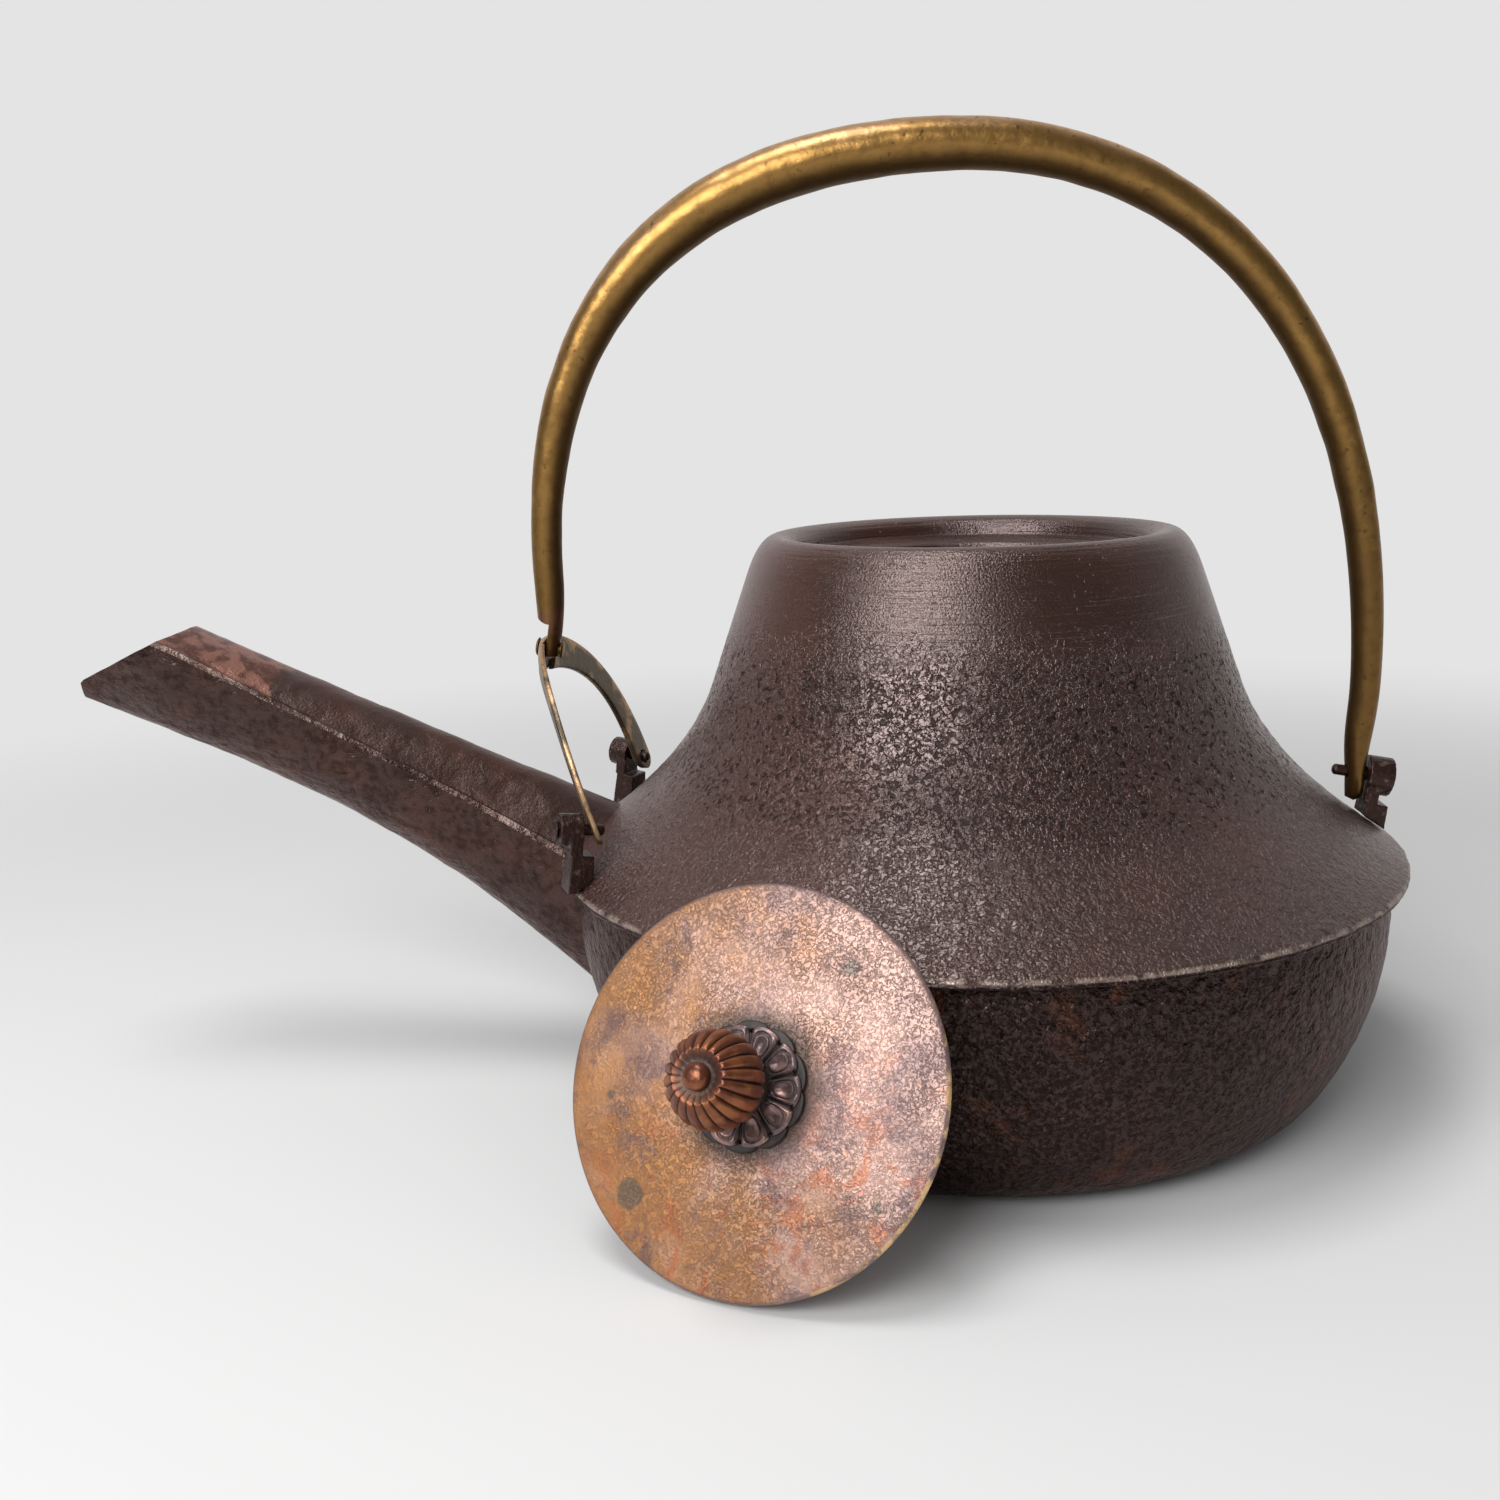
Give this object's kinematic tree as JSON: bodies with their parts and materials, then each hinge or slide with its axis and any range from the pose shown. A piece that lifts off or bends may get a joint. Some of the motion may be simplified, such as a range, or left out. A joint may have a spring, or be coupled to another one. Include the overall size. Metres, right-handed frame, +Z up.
{
  "type": "kettle",
  "caption": "Squat iron sake kettle with a cone-shaped shoulder, long spout, arched brass bail on a fork, and a bronze lid with a ribbed knob leaning on it.",
  "frame": {"origin": "centre of the flat base, on the surface the kettle stands on", "axes": "+Z up; -X towards the spout; the lid leans on the -Y side"},
  "size_m": [0.2402, 0.1674, 0.1674],
  "materials": {
    "cast_iron": "dark brown, pitted skin, smooth turned neck",
    "spout_iron": "matte brown, worn edges",
    "ear_iron": "dark, worn bright on edges",
    "pin_iron": "dark forged",
    "fork_brass": "olive brown patina, worn edges",
    "bail_brass": "aged golden brown, hand polished",
    "lid_bronze": "mottled copper and gold patina",
    "flower_copper": "dark grey purple patina",
    "knob_copper": "red brown, glossy"
  },
  "bodies": {
    "kettle": {"kettle_body": "cast_iron", "spout": "spout_iron", "front_left_ear": "ear_iron", "front_right_ear": "ear_iron", "rear_ear": "ear_iron", "front_left_pin": "pin_iron", "front_right_pin": "pin_iron", "rear_pin": "pin_iron", "fork": "fork_brass", "crown_rivet": "bail_brass"},
    "bail": {"bail": "bail_brass"},
    "lid": {"lid": "lid_bronze", "flower_washer": "flower_copper", "knob": "knob_copper", "knob_stud": "knob_copper", "under_washer": "lid_bronze"}
  },
  "joints": [
    {"name": "bail_swing", "type": "hinge", "parent": "kettle", "child": "bail", "pos_m": [-0.0768, 0, 0.079], "axis": [0.985, 0, -0.1726], "range_deg": [-35, 35]},
    {"name": "lid_lift", "type": "slide", "parent": "kettle", "child": "lid", "axis": [-0.3381, -0.8244, 0.454], "range_m": [0, 0.12]}
  ]
}
